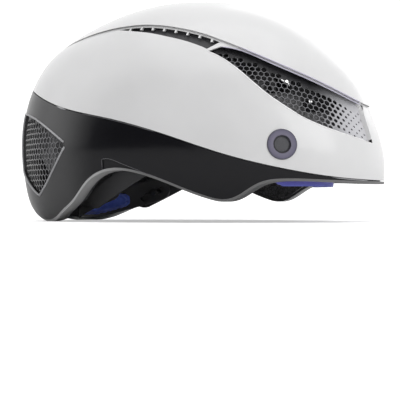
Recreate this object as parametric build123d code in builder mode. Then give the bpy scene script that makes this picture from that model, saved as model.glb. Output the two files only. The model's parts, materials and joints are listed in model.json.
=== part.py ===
from build123d import *
import math
import os

# Aero time trial helmet.
# The front is at +X, the wearer's left at +Y and the crown at +Z, with the tail tips at height zero.
# Tables of shares are read against half of the helmet's length, half of its width and its height.

# Overall size of the outer form
helmet_length = 289.0
helmet_width = 204.0
helmet_height = 169.5
plan_points = 12

# Shells, with a raised spine whose rise fades out towards the rear
shell_wall = 2.4
spine_rise = 1.5
spine_fade = 3.0
spine_ledge = 2.2
parting_gap = 0.8
bond_gap = 0.2
scoop_depth = 1.2
pillar_half_width = 30.0
front_pillar_half_width = 17.0

# Edge piece along the lower rim
rim_height = 1.8
rim_proud = 0.2
rim_depth = 18.0
rim_nape_depth = 6.0
rim_nape_width = 76.0

# Honeycomb inserts
mesh_wall = 1.2
mesh_flange = 2.5
mesh_border = 1.0
mesh_web = 0.9
vent_cell = 5.0
rear_cell = 5.6
rear_cell_turn = 40.0

# Air passages in the liner
mesh_pocket = 12.0
port_height = 12.0
port_length = 18.0
front_port_start = 20.0
channel_depth = 6.0
channel_width = 12.0
channel_length = 150.0
channel_offset = 24.0
liner_seam = 0.2

# Strips in the slots beside the spine
slot_insert_wall = 1.4
slot_flange = 1.6
tooth_count = 8
tooth_width = 1.3
tooth_drop = 2.0
tooth_front_gap = 6.0

# Visor seats
seat_diameter = 22.0
seat_depth = 5.0
seat_proud = 0.4
socket_diameter = 13.0
socket_depth = 1.6
magnet_diameter = 10.0
magnet_height = 2.6

# Head cavity
cavity_length = 212.0
cavity_width = 160.0
cavity_height = 141.0
cavity_forward = 2.0
nape_start = 60.0
nape_width = 104.0
nape_height = 50.0
nape_radius = 24.0

# Comfort pads
pad_thickness = 6.0
pad_border = 1.6
pad_border_width = 3.0
pad_groove = 2.4
pad_radius = 7.0
brow_pad_start = 74.0
brow_pad_low = 26.0
brow_pad_height = 28.0
brow_pad_groove_step = 22.0
rear_pad_start = 70.0
rear_pad_low = 77.0
rear_pad_height = 22.0
side_pad_length = 30.0
side_pad_height = 20.0
side_pad_level = 81.0
crown_pad_width = 26.0
crown_pad_front_length = 44.0
crown_pad_rear_length = 46.0
crown_pad_gap = 5.0

# Straps
strap_width = 15.0
strap_thickness = 1.4
strap_middle = -5.0
anchor_diameter = 18.0
anchor_thickness = 2.0
anchor_front = 42.0
anchor_front_level = 66.0
anchor_rear = -52.0
anchor_rear_level = 62.0
divider_length = 48.0
divider_height = 13.0
divider_thickness = 4.0
divider_level = 108.0
divider_bar = 3.5

# Buckle between the chin straps
buckle_half_length = 20.0
buckle_width = 26.0
buckle_height = 8.6
buckle_overlap = 4.0
buckle_split = 2.5
buckle_radius = 3.0
tongue_width = 14.0
tongue_reach = 9.0
tongue_lip = 4.5
tongue_lip_height = 5.6
tongue_neck_height = 3.0

# Fit system: two arms on pivots, and a cradle that the dial draws along them
fit_half_width = 71.0
fit_back = 104.0
fit_front = 103.0
fit_middle = 3.0
arm_thickness = 2.0
arm_space = 3.0
pivot_forward = 10.0
pivot_level = 60.0
pivot_radius = 3.0
pivot_depth = 8.0
pivot_collar_radius = 6.0
pivot_head_radius = 5.0
pivot_head_height = 1.5
arm_eye_radius = 8.0
arm_end_radius = 7.0
arm_end_back = -66.0
arm_end_level = 17.0
stud_share = 0.86
stud_radius = 2.5
stud_length = 13.0
reach_back = 4.0
reach_forward = 10.0
cradle_thickness = 2.2
cradle_back = -96.0
cradle_level = 13.0
cradle_radius = 10.5
cradle_side = -54.0
cradle_side_level = 25.0
cradle_side_radius = 9.0
nape_pad_thickness = 5.5
nape_pad_radius = 9.0
nape_pad_end = -80.0
nape_pad_end_level = 16.0
nape_pad_end_radius = 6.5

# Dial that winds the lace
housing_width = 34.0
housing_height = 19.0
housing_depth = 9.0
housing_wall = 2.0
housing_radius = 4.0
knob_radius = 11.0
knob_depth = 8.0
knob_grips = 24
knob_grip_radius = 0.9
knob_chamfer = 1.0
shaft_radius = 2.5
spool_radius = 4.5
spool_flange_radius = 5.8
spool_flange = 0.8
spool_length = 5.0
spool_chamber_radius = 6.4
lace_height = 2.4
lace_thickness = 1.2

# Clearances
free_gap = 0.3
running_gap = 0.05
overrun = 60.0

half_length = helmet_length / 2
half_width = helmet_width / 2
cut_reach = helmet_width + overrun
above = helmet_height + overrun

# Level, front, rear and half width of each plan section of the outer form
form_shares = [
    (0.000, 0.920, -0.877, 0.800),
    (0.100, 0.982, -0.970, 0.905),
    (0.200, 1.000, -0.990, 0.968),
    (0.320, 0.990, -1.000, 1.000),
    (0.450, 0.943, -0.994, 0.975),
    (0.580, 0.878, -0.959, 0.915),
    (0.700, 0.787, -0.891, 0.820),
    (0.800, 0.674, -0.775, 0.700),
    (0.880, 0.542, -0.610, 0.560),
    (0.940, 0.396, -0.437, 0.405),
    (0.980, 0.235, -0.262, 0.235),
    (0.995, 0.115, -0.135, 0.118),
]
form_widest_share = -0.05
form_crown_share = -0.01

# Level and size of each plan section of the head cavity
cavity_shares = [
    (0.00, 0.930),
    (0.12, 0.965),
    (0.25, 0.990),
    (0.40, 1.000),
    (0.55, 0.965),
    (0.68, 0.885),
    (0.80, 0.755),
    (0.89, 0.595),
    (0.95, 0.425),
    (0.985, 0.240),
]
cavity_widest_share = -0.01

# Outlines seen from the side: distance forward and height, as shares of half length and height
parting_shares = [
    (-1.060, 0.665), (-0.817, 0.583), (-0.586, 0.507), (-0.259, 0.443), (0.071, 0.363),
    (0.339, 0.286), (0.612, 0.2265), (0.806, 0.196), (1.060, 0.180),
]
rim_edge_shares = [
    (-1.060, 0.060), (-0.900, 0.028), (-0.800, 0.000), (-0.720, -0.001), (-0.660, 0.014),
    (-0.602, 0.041), (-0.518, 0.083), (-0.401, 0.172), (-0.340, 0.203), (-0.271, 0.220),
    (-0.200, 0.223), (-0.103, 0.209), (0.025, 0.173), (0.165, 0.124), (0.245, 0.100),
    (0.311, 0.089), (0.370, 0.099), (0.451, 0.140), (0.515, 0.166), (0.600, 0.176),
    (0.796, 0.172), (0.969, 0.168), (1.060, 0.168),
]
slot_top_shares = [
    (-0.315, 0.853), (-0.247, 0.856), (-0.176, 0.857), (-0.080, 0.850), (0.040, 0.832),
    (0.156, 0.806), (0.259, 0.774),
]
slot_bottom_shares = [
    (-0.315, 0.853), (-0.213, 0.840), (-0.120, 0.827), (-0.031, 0.809), (0.055, 0.790),
    (0.138, 0.767), (0.204, 0.743),
]
vent_top_shares = [
    (0.268, 0.753), (0.367, 0.736), (0.514, 0.681), (0.654, 0.627), (0.788, 0.570), (0.907, 0.511),
]
vent_bottom_shares = [
    (0.211, 0.733), (0.288, 0.700), (0.383, 0.642), (0.459, 0.586), (0.532, 0.535),
    (0.603, 0.492), (0.672, 0.453), (0.737, 0.424), (0.802, 0.400), (0.924, 0.360), (0.967, 0.345),
]
vent_front_shares = [(0.967, 0.345), (0.950, 0.398), (0.929, 0.451), (0.907, 0.511)]
spine_rear_shares = [(-1.060, 0.640), (-0.850, 0.735), (-0.640, 0.800), (-0.450, 0.838), (-0.315, 0.853)]
spine_front_shares = [(0.907, 0.511), (1.060, 0.440)]
rear_vent_top_shares = [
    (-0.540, 0.350), (-0.605, 0.386), (-0.688, 0.427), (-0.782, 0.465), (-0.880, 0.490), (-1.060, 0.512),
]
rear_vent_bottom_shares = [
    (-1.060, 0.260), (-0.947, 0.232), (-0.846, 0.165), (-0.763, 0.118), (-0.713, 0.150),
    (-0.615, 0.238), (-0.567, 0.290), (-0.534, 0.328),
]
rear_tip = 3
crease_shares = [
    (-0.300, 0.270), (-0.266, 0.273), (-0.196, 0.254), (-0.116, 0.228), (-0.055, 0.206), (0.006, 0.183),
]
visor_forward_share = 0.602
visor_height_share = 0.330
front_port_shares = [(0.36, 0.655), (0.53, 0.590), (0.70, 0.510)]
rear_port_shares = [(0.44, 0.375), (0.64, 0.330)]


def from_shares(shares):
    """Side view points in millimetres from a table of shares."""
    return [(forward * half_length, level * helmet_height) for forward, level in shares]


def egg(front, rear, middle, half):
    """Points of an egg-shaped plan section, counted round from its front."""
    points = []
    for step in range(plan_points):
        turn = 2 * math.pi * step / plan_points
        reach = front - middle if math.cos(turn) >= 0 else middle - rear
        points.append((middle + reach * math.cos(turn), half * math.sin(turn)))
    return points


def even_curve(points):
    """A smooth closed curve through the points with an even pace, so that a loft's sections match."""
    pace = list(range(len(points) + 1))
    add(Edge.make_spline([Vector(*point) for point in points], periodic=True, parameters=pace))


def helmet_form(inset, tail_inset=None):
    """The helmet's outer form as a solid, with its surface moved inwards by the inset.

    A tail inset of its own moves the rear alone by another amount.
    """
    length = half_length - inset
    tail = length if tail_inset is None else half_length - tail_inset
    width = half_width - inset
    height = helmet_height - inset
    with BuildPart() as form:
        for level, front, rear, half in form_shares:
            with BuildSketch(Plane.XY.offset(level * height)):
                with BuildLine():
                    points = egg(front * length, rear * tail, form_widest_share * length, half * width)
                    even_curve(points)
                make_face()
        sections = form.pending_faces
        form.pending_faces = []
        form.pending_face_planes = []
        loft(sections=[*sections, Vertex(form_crown_share * length, 0, height)])
    return form.part


def cavity_form(inset):
    """The head cavity as a solid, with its surface moved inwards by the inset."""
    length = cavity_length / 2 - inset
    width = cavity_width / 2 - inset
    height = cavity_height - inset
    with BuildPart() as form:
        for level, share in cavity_shares:
            with BuildSketch(Plane.XY.offset(level * height)):
                with BuildLine():
                    front = cavity_forward + share * length
                    rear = cavity_forward - share * length
                    points = egg(front, rear, cavity_widest_share * length, share * width)
                    even_curve(points)
                make_face()
        sections = form.pending_faces
        form.pending_faces = []
        form.pending_face_planes = []
        loft(sections=[*sections, Vertex(cavity_forward, 0, height)])
    return form.part


def layer(outer, inner):
    """What lies between two nested forms."""
    with BuildPart() as wall:
        add(outer)
        add(inner, mode=Mode.SUBTRACT)
    return wall.part


def side_prism(*curves, start=None):
    """A solid along Y whose outline, seen from the side, runs through the given curves.

    It passes through both sides, or covers the right side alone from a distance off the middle.
    """
    plane = Plane.XZ if start is None else Plane.XZ.offset(start)
    with BuildPart() as prism:
        with BuildSketch(plane):
            with BuildLine():
                for points in curves:
                    if len(points) > 2:
                        Spline(*points)
                    else:
                        Line(*points)
            make_face()
        extrude(amount=cut_reach, both=start is None)
    return prism.part


def above_line(edge, rise=0):
    """Everything above a line seen from the side."""
    edge = [(forward, level + rise) for forward, level in edge]
    top_rear = (edge[0][0], above)
    top_front = (edge[-1][0], above)
    return side_prism(edge, [edge[-1], top_front], [top_front, top_rear], [top_rear, edge[0]])


def flange_prism(loop, grow, start):
    """A solid on the right side whose outline is a side view loop made larger or smaller."""
    with BuildPart() as prism:
        with BuildSketch(Plane.XZ.offset(start)):
            with BuildLine():
                Polyline(*loop, close=True)
            make_face()
            offset(amount=grow, kind=Kind.ARC)
        extrude(amount=cut_reach)
    return prism.part


def level_at(points, forward):
    """Height of a side view line at a distance forward, read between its points."""
    for (x0, z0), (x1, z1) in zip(points, points[1:]):
        if x0 <= forward <= x1:
            return z0 + (z1 - z0) * (forward - x0) / (x1 - x0)
    return points[-1][1]


def surface_hit(form, line):
    """The last point and normal where a line from inside meets a form's surface."""
    return form.shell().find_intersection_points(line)[-1]


def fit_half_at(forward, inset):
    """Half width of the fit system's plan line at a distance forward of the middle."""
    reach = fit_front - fit_middle if forward > fit_middle else fit_back + fit_middle
    share = (forward - fit_middle) / (reach - inset)
    return (fit_half_width - inset) * math.sqrt(1 - share ** 2)


def fit_wall(inset, thickness, low, high):
    """An upright wall that follows the fit system's plan line."""
    with BuildPart() as wall:
        with BuildSketch(Plane.XY.offset(low)):
            for amount, mode in ((inset, Mode.ADD), (inset + thickness, Mode.SUBTRACT)):
                with BuildLine():
                    points = egg(fit_front - amount, amount - fit_back, fit_middle, fit_half_width - amount)
                    even_curve(points)
                make_face(mode=mode)
        extrude(amount=high - low)
    return wall.part


parting = from_shares(parting_shares)
rim_edge = from_shares(rim_edge_shares)
slot_top = from_shares(slot_top_shares)
slot_bottom = from_shares(slot_bottom_shares)
vent_top = from_shares(vent_top_shares)
vent_bottom = from_shares(vent_bottom_shares)
vent_front = from_shares(vent_front_shares)
spine_shares = spine_rear_shares + slot_top_shares[1:] + vent_top_shares[1:] + spine_front_shares[1:]
spine_line = from_shares(spine_shares)
rear_top = from_shares(rear_vent_top_shares)
rear_bottom = from_shares(rear_vent_bottom_shares)
crease = from_shares(crease_shares)
vent_rear = [vent_top[0], vent_bottom[0]]
slot_front = [slot_bottom[-1], slot_top[-1]]
vent_loop = vent_bottom + vent_front[1:] + vent_top[::-1][1:]
slot_loop = slot_bottom + slot_top[::-1][:-1]
rear_loop = rear_top + rear_bottom

# Forms and layers shared by the shells, the inserts, the liner and the soft parts
insert_level = shell_wall + bond_gap
outer_form = helmet_form(0)
shell_inside = helmet_form(shell_wall)
liner_outside = helmet_form(insert_level)
pocket_floor = helmet_form(insert_level + mesh_pocket)
cavity = cavity_form(0)
wall_face = cavity_form(free_gap)
strap_face = cavity_form(free_gap + strap_thickness)
shell_layer = layer(outer_form, shell_inside)
mesh_layer = layer(liner_outside, helmet_form(insert_level + mesh_wall))
pad_border_layer = layer(wall_face, cavity_form(free_gap + pad_border))
pad_layer = layer(wall_face, cavity_form(free_gap + pad_thickness))
strap_layer = layer(wall_face, strap_face)
divider_layer = layer(wall_face, cavity_form(free_gap + divider_thickness))

# Places that several pieces share
visor_line = Axis((visor_forward_share * half_length, 0, visor_height_share * helmet_height), (0, -1, 0))
visor_point, visor_normal = surface_hit(outer_form, visor_line)
visor_plane = Plane(origin=visor_point, z_dir=visor_normal)
anchor_places = [(anchor_front, anchor_front_level), (anchor_rear, anchor_rear_level)]
divider_low = divider_level - divider_height / 2
divider_high = divider_level + divider_height / 2
arm_line = (arm_end_back - pivot_forward, arm_end_level - pivot_level)
arm_length = math.hypot(*arm_line)
arm_slope = (arm_line[0] / arm_length, arm_line[1] / arm_length)
stud_forward = pivot_forward + stud_share * arm_line[0]
stud_level = pivot_level + stud_share * arm_line[1]
cradle_inset = arm_thickness + arm_space
housing_front = cradle_inset - fit_back
housing_back = housing_front - housing_depth

# The pivots reach from the arms' eyes to the liner's wall and into it
pivot_outer = fit_half_width + free_gap
pivot_inner = fit_half_at(pivot_forward + pivot_head_radius, arm_thickness) - free_gap
pivot_wall_line = Axis((pivot_forward + pivot_collar_radius, 0, pivot_level + pivot_collar_radius), (0, 1, 0))
pivot_wall = surface_hit(cavity, pivot_wall_line)[0].Y - free_gap
pivot_tip = pivot_wall + pivot_depth

# The rear honeycomb's cells face this way
rear_turn = math.radians(rear_cell_turn)
rear_across = (math.sin(rear_turn), -math.cos(rear_turn), 0)
rear_outward = (-math.cos(rear_turn), -math.sin(rear_turn), 0)
rear_plane = Plane(origin=(0, 0, 0), x_dir=rear_across, z_dir=rear_outward)

# The buckle hangs just under the ends of the two chin straps
strap_end = surface_hit(strap_face, Axis((strap_middle, buckle_half_length, 0), (0, 0, 1)))[0]
buckle_middle = strap_end.Z - free_gap - buckle_height / 2
buckle_plane = Plane(origin=(strap_middle, 0, buckle_middle), x_dir=(0, 1, 0), z_dir=(1, 0, 0))


def make_tooth_row():
    """Small blocks under the top edge of the slots, left standing when the slots are cut."""
    first = slot_top[1][0]
    last = slot_top[-1][0] - tooth_front_gap
    step = (last - first) / (tooth_count - 1)
    with BuildPart() as teeth:
        for number in range(tooth_count):
            forward = first + step * number
            with BuildSketch(Plane.XZ):
                with Locations((forward, level_at(slot_top, forward))):
                    Rectangle(tooth_width, tooth_drop * 2)
            extrude(amount=cut_reach, both=True)
    return teeth.part


def make_seat_hole(radius, depth):
    """Round holes for the two visor seats."""
    with BuildPart() as hole:
        with BuildSketch(visor_plane):
            Circle(radius)
        extrude(amount=depth, both=True)
        mirror(about=Plane.XZ)
    return hole.part


def make_top_shell():
    """White upper shell with its raised spine, side vents, toothed slots and visor holes."""
    vent_cut = side_prism(vent_bottom, vent_front, vent_top[::-1], vent_rear)
    slot_cut = side_prism(slot_bottom, slot_front, slot_top[::-1])
    teeth = make_tooth_row()
    seat_hole = make_seat_hole(seat_diameter / 2 + running_gap, seat_depth)
    spine_layer = layer(helmet_form(-spine_rise, spine_fade), shell_inside)
    over_parting = above_line(parting, parting_gap / 2)
    over_spine_line = above_line(spine_line, spine_ledge)
    with BuildPart() as slot_cutter:
        add(slot_cut)
        add(teeth, mode=Mode.SUBTRACT)
    with BuildPart() as spine:
        add(spine_layer)
        add(over_spine_line, mode=Mode.INTERSECT)
    with BuildPart() as shell:
        add(shell_layer)
        add(over_parting, mode=Mode.INTERSECT)
        add(spine.part)
        add(vent_cut, mode=Mode.SUBTRACT)
        add(slot_cutter.part, mode=Mode.SUBTRACT)
        add(seat_hole, mode=Mode.SUBTRACT)
    return shell.part


def make_lower_shell():
    """Glossy lower shell with ear lobes, arches, scoops and the two rear vents."""
    rear_cut = side_prism(rear_top, [rear_top[-1], rear_bottom[0]], rear_bottom[:rear_tip + 1],
                          rear_bottom[rear_tip:], [rear_bottom[-1], rear_top[0]], start=pillar_half_width)
    low_front = (crease[-1][0], -overrun)
    low_rear = (crease[0][0], -overrun)
    scoop_area = side_prism(crease, [crease[-1], low_front], [low_front, low_rear], [low_rear, crease[0]])
    scoop_layer = layer(outer_form, helmet_form(scoop_depth))
    over_parting = above_line(parting, -parting_gap / 2)
    over_rim = above_line(rim_edge, rim_height)
    with BuildPart() as scoop:
        add(scoop_layer)
        add(scoop_area, mode=Mode.INTERSECT)
    with BuildPart() as shell:
        add(shell_layer)
        add(over_parting, mode=Mode.SUBTRACT)
        add(over_rim, mode=Mode.INTERSECT)
        add(rear_cut, mode=Mode.SUBTRACT)
        add(mirror(rear_cut, about=Plane.XZ), mode=Mode.SUBTRACT)
        add(scoop.part, mode=Mode.SUBTRACT)
    return shell.part


def make_rim_trim():
    """Edge piece along the lower rim, with an inner flange that is cut back at the nape."""
    rim_layer = layer(helmet_form(-rim_proud), helmet_form(rim_depth))
    nape_inside = helmet_form(rim_nape_depth)
    over_edge = above_line(rim_edge)
    over_rim = above_line(rim_edge, rim_height)
    with BuildPart() as notch:
        add(nape_inside)
        with BuildSketch(Plane.YZ):
            Rectangle(rim_nape_width, above)
        extrude(amount=-cut_reach, mode=Mode.INTERSECT)
    with BuildPart() as trim:
        add(rim_layer)
        add(over_edge, mode=Mode.INTERSECT)
        add(over_rim, mode=Mode.SUBTRACT)
        add(notch.part, mode=Mode.SUBTRACT)
    return trim.part


def make_ports():
    """Air passages on the right side, from the pockets into the head cavity."""
    with BuildPart() as ports:
        for forward_share, level_share in front_port_shares:
            with BuildSketch(Plane.XZ.offset(front_port_start)):
                with Locations((forward_share * half_length, level_share * helmet_height)):
                    RectangleRounded(port_length, port_height, port_height / 3)
            extrude(amount=cut_reach)
        for across_share, level_share in rear_port_shares:
            with BuildSketch(Plane.YZ):
                with Locations((-across_share * half_width, level_share * helmet_height)):
                    RectangleRounded(port_height, port_length, port_height / 3)
            extrude(amount=-cut_reach)
    return ports.part


def make_liner():
    """Right half of the foam liner: cavity, air pockets, ports, channel and room for the fit system."""
    pocket_border = mesh_flange + free_gap
    vent_area = flange_prism(vent_loop, pocket_border, front_pillar_half_width - pocket_border)
    rear_area = flange_prism(rear_loop, pocket_border, pillar_half_width - pocket_border)
    vent_pocket = layer(vent_area, pocket_floor)
    rear_pocket = layer(rear_area, pocket_floor)
    slot_recess = layer(flange_prism(slot_loop, slot_flange + free_gap, 0),
                        helmet_form(insert_level + slot_insert_wall + free_gap))
    ports = make_ports()
    cavity_deeper = cavity_form(-channel_depth)
    anchor_recess = layer(cavity_form(-anchor_thickness - free_gap), cavity)
    over_rim = above_line(rim_edge, rim_height + bond_gap)
    seat_hole = make_seat_hole(seat_diameter / 2 + free_gap, seat_depth + free_gap)
    with BuildPart() as channels:
        with BuildSketch():
            with Locations((cavity_forward, -channel_offset)):
                SlotOverall(channel_length, channel_width)
        extrude(amount=above)
        add(cavity_deeper, mode=Mode.INTERSECT)
    with BuildPart() as anchor_holes:
        with BuildSketch(Plane.XZ):
            with Locations(*anchor_places):
                Circle(anchor_diameter / 2 + free_gap)
        extrude(amount=cut_reach, both=True)
        add(anchor_recess, mode=Mode.INTERSECT)
    with BuildPart() as right_side:
        with BuildSketch(Plane.XZ.offset(liner_seam / 2)):
            Rectangle(cut_reach * 2, above * 2)
        extrude(amount=cut_reach)
    with BuildPart() as liner:
        add(liner_outside)
        add(right_side.part, mode=Mode.INTERSECT)
        add(over_rim, mode=Mode.INTERSECT)
        add(cavity, mode=Mode.SUBTRACT)
        add(channels.part, mode=Mode.SUBTRACT)
        for cutter in (vent_pocket, rear_pocket, ports, slot_recess):
            add(cutter, mode=Mode.SUBTRACT)
        with BuildSketch(Plane.YZ.offset(-nape_start)):
            RectangleRounded(nape_width, nape_height * 2, nape_radius)
        extrude(amount=-cut_reach, mode=Mode.SUBTRACT)
        add(seat_hole, mode=Mode.SUBTRACT)
        add(anchor_holes.part, mode=Mode.SUBTRACT)
        with BuildSketch(Plane.XZ):
            with Locations((pivot_forward, pivot_level)):
                Circle(pivot_radius)
        extrude(amount=pivot_tip, both=True, mode=Mode.SUBTRACT)
    return liner.part


def make_honeycomb(loop, start, plane, cell):
    """A curved insert on the right side, with hexagonal cells wherever its opening is clear."""
    panel_area = flange_prism(loop, mesh_flange, start - mesh_flange)
    clear_area = flange_prism(loop, -mesh_border - cell / 2, start + mesh_border + cell / 2)
    with BuildPart() as field:
        add(mesh_layer)
        add(clear_area, mode=Mode.INTERSECT)
    surface = field.part.shell()
    columns = int(helmet_length / cell)
    rows = int(helmet_height / cell) * 2
    places = []
    for place in HexLocations(cell / 2, columns, rows).local_locations:
        centre = place.position
        line = Axis(plane.from_local_coords(centre), plane.z_dir)
        if surface.find_intersection_points(line):
            places.append((centre.X, centre.Y))
    with BuildPart() as cells:
        with BuildSketch(plane):
            with Locations(*places):
                RegularPolygon((cell - mesh_web) / 2, 6, major_radius=False)
        extrude(amount=cut_reach)
    with BuildPart() as insert:
        add(mesh_layer)
        add(panel_area, mode=Mode.INTERSECT)
        add(cells.part, mode=Mode.SUBTRACT)
    print("honeycomb cells", len(places))
    return insert.part


def make_slot_insert():
    """Dark strip behind the right slot."""
    slot_layer = layer(liner_outside, helmet_form(insert_level + slot_insert_wall))
    area = flange_prism(slot_loop, slot_flange, 0)
    vent_area = flange_prism(vent_loop, mesh_flange + free_gap, 0)
    with BuildPart() as insert:
        add(slot_layer)
        add(area, mode=Mode.INTERSECT)
        add(vent_area, mode=Mode.SUBTRACT)
    return insert.part


def make_visor_seat():
    """Round cup on the right side, with a socket for the visor's disc."""
    with BuildPart() as seat:
        with BuildSketch(visor_plane.offset(seat_proud)):
            Circle(seat_diameter / 2)
        extrude(amount=-seat_proud - seat_depth)
        chamfer(seat.faces().sort_by(Axis((0, 0, 0), visor_normal))[-1].edges(), seat_proud)
        with BuildSketch(visor_plane.offset(seat_proud)):
            Circle(socket_diameter / 2)
        extrude(amount=-socket_depth, mode=Mode.SUBTRACT)
        with BuildSketch(visor_plane.offset(seat_proud - socket_depth)):
            Circle(magnet_diameter / 2 + running_gap)
        extrude(amount=-magnet_height, mode=Mode.SUBTRACT)
    return seat.part


def make_visor_magnet():
    """Round magnet at the bottom of the right socket."""
    with BuildPart() as magnet:
        with BuildSketch(visor_plane.offset(seat_proud - socket_depth)):
            Circle(magnet_diameter / 2)
        extrude(amount=-magnet_height)
    return magnet.part


def make_pad(plane, centre, size, both, groove_plane, grooves):
    """A comfort pad on the cavity's wall: a thin border round raised cushions with grooves between."""
    raised_size = (size[0] - 2 * pad_border_width, size[1] - 2 * pad_border_width)
    with BuildPart() as border:
        with BuildSketch(plane):
            with Locations(centre):
                RectangleRounded(*size, pad_radius)
        extrude(amount=cut_reach, both=both)
        add(pad_border_layer, mode=Mode.INTERSECT)
    with BuildPart() as raised:
        with BuildSketch(plane):
            with Locations(centre):
                RectangleRounded(*raised_size, pad_radius - pad_border_width)
        extrude(amount=cut_reach, both=both)
        add(pad_layer, mode=Mode.INTERSECT)
        with BuildSketch(groove_plane):
            with Locations(*[(place, 0) for place in grooves]):
                Rectangle(pad_groove, above * 2)
        extrude(amount=cut_reach, both=True, mode=Mode.SUBTRACT)
    with BuildPart() as pad:
        add(border.part)
        add(raised.part)
    return pad.part


def make_brow_pad():
    """Pad round the brow, its left half mirrored as the liner's is."""
    length = cavity_length
    centre = (brow_pad_start + length / 2, brow_pad_low + brow_pad_height / 2)
    grooves = [brow_pad_groove_step * number for number in (-1.5, -0.5, 0.5, 1.5)]
    with BuildPart() as pad:
        add(make_pad(Plane.XZ, centre, (length, brow_pad_height), False, Plane.YZ, grooves))
        mirror(about=Plane.XZ)
    return pad.part


def make_rear_pad():
    """Pad round the back of the head."""
    length = cavity_length
    centre = (-rear_pad_start - length / 2, rear_pad_low + rear_pad_height / 2)
    return make_pad(Plane.XZ, centre, (length, rear_pad_height), True, Plane.YZ, [0])


def make_side_pad():
    """Pad on the right side of the head."""
    centre = (strap_middle, side_pad_level)
    return make_pad(Plane.XZ, centre, (side_pad_length, side_pad_height), False, Plane.XZ, [strap_middle])


def make_crown_pad(length, direction, travel=0):
    """Pad under the crown, in front of the buckle and its travel, or behind it."""
    middle = strap_middle + direction * (buckle_width / 2 + travel + crown_pad_gap + length / 2)
    return make_pad(Plane.XY, (middle, 0), (length, crown_pad_width), False, Plane.XY, [middle])


def make_strap_anchors():
    """Four discs set into the liner's wall, where the straps start."""
    anchor_layer = layer(cavity_form(-anchor_thickness), cavity)
    with BuildPart() as anchors:
        with BuildSketch(Plane.XZ):
            with Locations(*anchor_places):
                Circle(anchor_diameter / 2)
        extrude(amount=cut_reach, both=True)
        add(anchor_layer, mode=Mode.INTERSECT)
    return anchors.part


def make_side_strap():
    """Webbing on the right side, from the two anchors up to the divider."""
    with BuildPart() as strap:
        with BuildSketch(Plane.XZ):
            for (forward, level), side in zip(anchor_places, (1, -1)):
                top = strap_middle + side * (divider_length / 2 - strap_width / 2 - divider_bar / 2)
                half = strap_width / 2
                with BuildLine():
                    Polyline((forward - half, level), (forward + half, level), (top + half, divider_low),
                             (top - half, divider_low), close=True)
                make_face()
        extrude(amount=cut_reach)
        add(strap_layer, mode=Mode.INTERSECT)
    return strap.part


def make_strap_divider():
    """Plate on the right side that joins the side straps to the chin strap."""
    with BuildPart() as divider:
        with BuildSketch(Plane.XZ):
            with Locations((strap_middle, divider_level)):
                RectangleRounded(divider_length, divider_height, divider_bar)
                Rectangle(strap_width, divider_bar, mode=Mode.SUBTRACT)
        extrude(amount=cut_reach)
        add(divider_layer, mode=Mode.INTERSECT)
    return divider.part


def make_chin_strap():
    """Webbing on the right side, stowed along the crown from the divider to the buckle."""
    inner = buckle_half_length - buckle_overlap
    with BuildPart() as strap:
        with BuildSketch(Plane.XY.offset(divider_high)):
            with Locations((strap_middle, -inner - half_width / 2)):
                Rectangle(strap_width, half_width)
        extrude(amount=above)
        add(strap_layer, mode=Mode.INTERSECT)
    return strap.part


def make_buckle_female():
    """Right half of the buckle, with a channel that the other half slides out of."""
    length = buckle_half_length + buckle_split
    lip_reach = tongue_reach - tongue_lip
    with BuildPart() as buckle:
        with BuildSketch(buckle_plane):
            with Locations((buckle_split - length / 2, 0)):
                RectangleRounded(length, buckle_height, buckle_radius)
        extrude(amount=buckle_width / 2, both=True)
        with BuildSketch(buckle_plane.offset(buckle_width / 2)):
            with Locations((-lip_reach - tongue_lip / 2, 0)):
                Rectangle(tongue_lip + 2 * free_gap, tongue_lip_height + 2 * free_gap)
            with Locations((buckle_split - (buckle_split + lip_reach) / 2, 0)):
                Rectangle(buckle_split + lip_reach, tongue_neck_height + 2 * free_gap)
        extrude(amount=-tongue_width - free_gap, mode=Mode.SUBTRACT)
    return buckle.part


def make_buckle_male():
    """Left half of the buckle, with a tongue that slides sideways in the channel."""
    start = buckle_split + free_gap
    length = buckle_half_length - start
    lip_reach = tongue_reach - tongue_lip
    with BuildPart() as buckle:
        with BuildSketch(buckle_plane):
            with Locations((start + length / 2, 0)):
                RectangleRounded(length, buckle_height, buckle_radius)
        extrude(amount=buckle_width / 2, both=True)
        with BuildSketch(buckle_plane.offset(buckle_width / 2)):
            with Locations(((start + length / 2 - lip_reach) / 2, 0)):
                Rectangle(start + length / 2 + lip_reach, tongue_neck_height)
            with Locations((-lip_reach - tongue_lip / 2, 0)):
                Rectangle(tongue_lip, tongue_lip_height)
        extrude(amount=-tongue_width)
    return buckle.part


def make_fit_pivot():
    """Pivot on the right side: a stem in the liner, a collar against the wall and a head."""
    with BuildPart() as pivot:
        for start, end, radius in (
            (pivot_inner - pivot_head_height, pivot_tip, pivot_radius),
            (pivot_outer, pivot_wall, pivot_collar_radius),
            (pivot_inner - pivot_head_height, pivot_inner, pivot_head_radius),
        ):
            with BuildSketch(Plane.XZ.offset(start)):
                with Locations((pivot_forward, pivot_level)):
                    Circle(radius)
            extrude(amount=end - start)
    return pivot.part


def make_fit_arm():
    """Right arm of the fit system, with its eye on the pivot and a stud that guides the cradle."""
    wall = fit_wall(0, arm_thickness, 0, above)
    start = fit_half_at(stud_forward, arm_thickness / 2)
    with BuildPart() as arm:
        with BuildSketch(Plane.XZ):
            with Locations((pivot_forward, pivot_level)):
                Circle(arm_eye_radius)
            with Locations((arm_end_back, arm_end_level)):
                Circle(arm_end_radius)
            make_hull()
            with Locations((pivot_forward, pivot_level)):
                Circle(pivot_radius + running_gap, mode=Mode.SUBTRACT)
        extrude(amount=cut_reach)
        add(wall, mode=Mode.INTERSECT)
        with BuildSketch(Plane.XZ.offset(start)):
            with Locations((stud_forward, stud_level)):
                Circle(stud_radius)
        extrude(amount=-stud_length)
    return arm.part


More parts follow.
